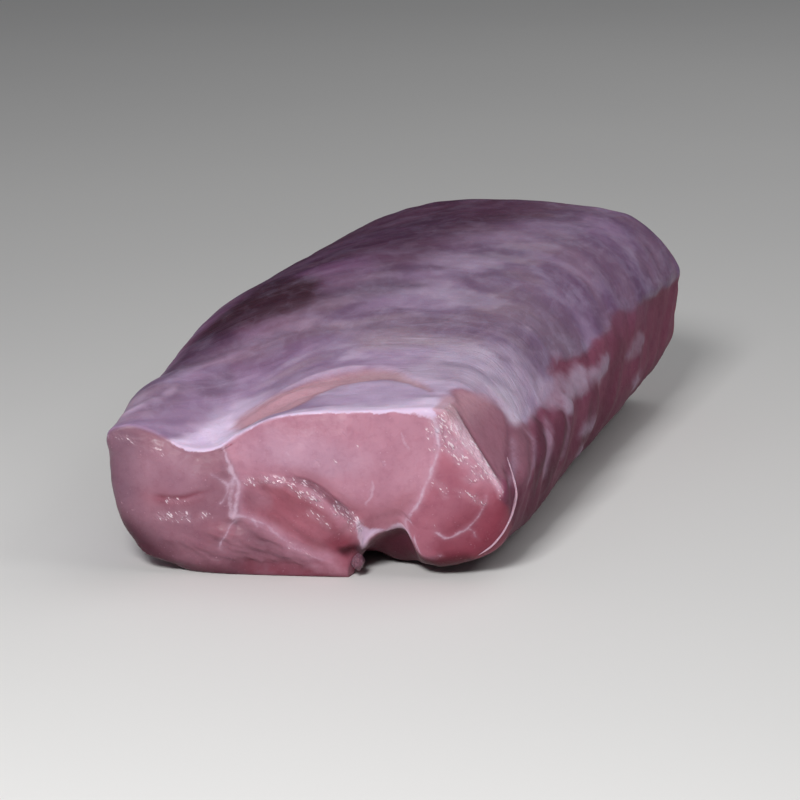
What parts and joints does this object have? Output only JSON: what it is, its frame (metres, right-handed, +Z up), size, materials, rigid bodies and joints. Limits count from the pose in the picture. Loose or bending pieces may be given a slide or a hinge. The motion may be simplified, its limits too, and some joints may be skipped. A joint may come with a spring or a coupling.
{
  "type": "pork loin",
  "caption": "Raw boneless pork loin joint: a long slab of meat with silverskin on top, a slanted cut face and a flat underside.",
  "frame": {"origin": "middle of the footprint, on the surface that the joint rests on", "axes": "+Y runs along the length, away from the slanted cut face, which looks towards -Y; +Z is up; +X is to the right when facing the cut"},
  "size_m": [0.1344, 0.2642, 0.073],
  "materials": {
    "raw_meat": "wet raw pork: pale pink cut muscle, mauve silverskin and a lavender white fat rim, with a moist sheen"
  },
  "bodies": {
    "root": {"pork_loin": "raw_meat"}
  },
  "joints": []
}
